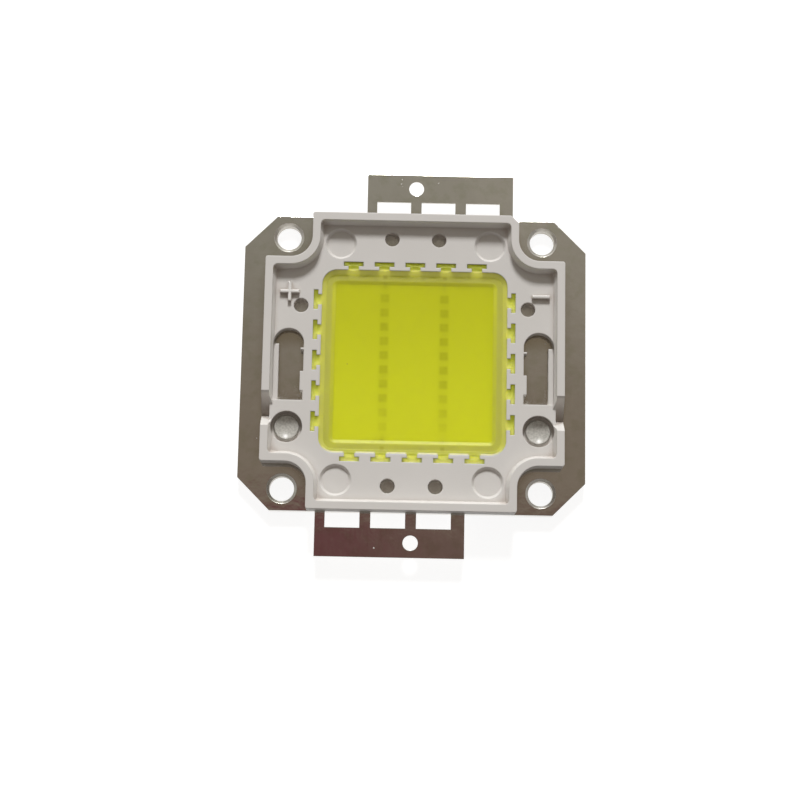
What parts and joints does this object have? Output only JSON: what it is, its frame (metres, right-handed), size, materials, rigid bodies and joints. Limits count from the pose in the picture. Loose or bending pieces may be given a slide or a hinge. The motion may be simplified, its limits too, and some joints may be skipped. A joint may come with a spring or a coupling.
{
  "type": "led light source",
  "caption": "Flat high-power LED module: plated metal base with screw holes, moulded frame with a keyed square window of yellow phosphor gel, and a flat solder tab at each end.",
  "frame": {"origin": "centre of the base plate's back face", "axes": "+Z out of the face that gives light, +Y from the positive tab to the negative tab, +X across the plate to the side with the minus mark"},
  "size_m": [0.046, 0.052, 0.0043],
  "materials": {
    "plate": "satin",
    "frame": "matte",
    "lead": "satin",
    "gel": "satin",
    "die": "polished",
    "wire": "polished"
  },
  "bodies": {
    "root": {"base_plate": "plate", "frame": "frame", "lead_negative": "lead", "lead_positive": "lead", "phosphor_gel": "gel", "die_left_01": "die", "die_left_02": "die", "die_left_03": "die", "die_left_04": "die", "die_left_05": "die", "die_left_06": "die", "die_left_07": "die", "die_left_08": "die", "die_left_09": "die", "die_left_10": "die", "die_right_01": "die", "die_right_02": "die", "die_right_03": "die", "die_right_04": "die", "die_right_05": "die", "die_right_06": "die", "die_right_07": "die", "die_right_08": "die", "die_right_09": "die", "die_right_10": "die", "wire_left_01": "wire", "wire_left_02": "wire", "wire_left_03": "wire", "wire_left_04": "wire", "wire_left_05": "wire", "wire_left_06": "wire", "wire_left_07": "wire", "wire_left_08": "wire", "wire_left_09": "wire", "wire_left_10": "wire", "wire_left_11": "wire", "wire_right_01": "wire", "wire_right_02": "wire", "wire_right_03": "wire", "wire_right_04": "wire", "wire_right_05": "wire", "wire_right_06": "wire", "wire_right_07": "wire", "wire_right_08": "wire", "wire_right_09": "wire", "wire_right_10": "wire", "wire_right_11": "wire"}
  },
  "joints": []
}
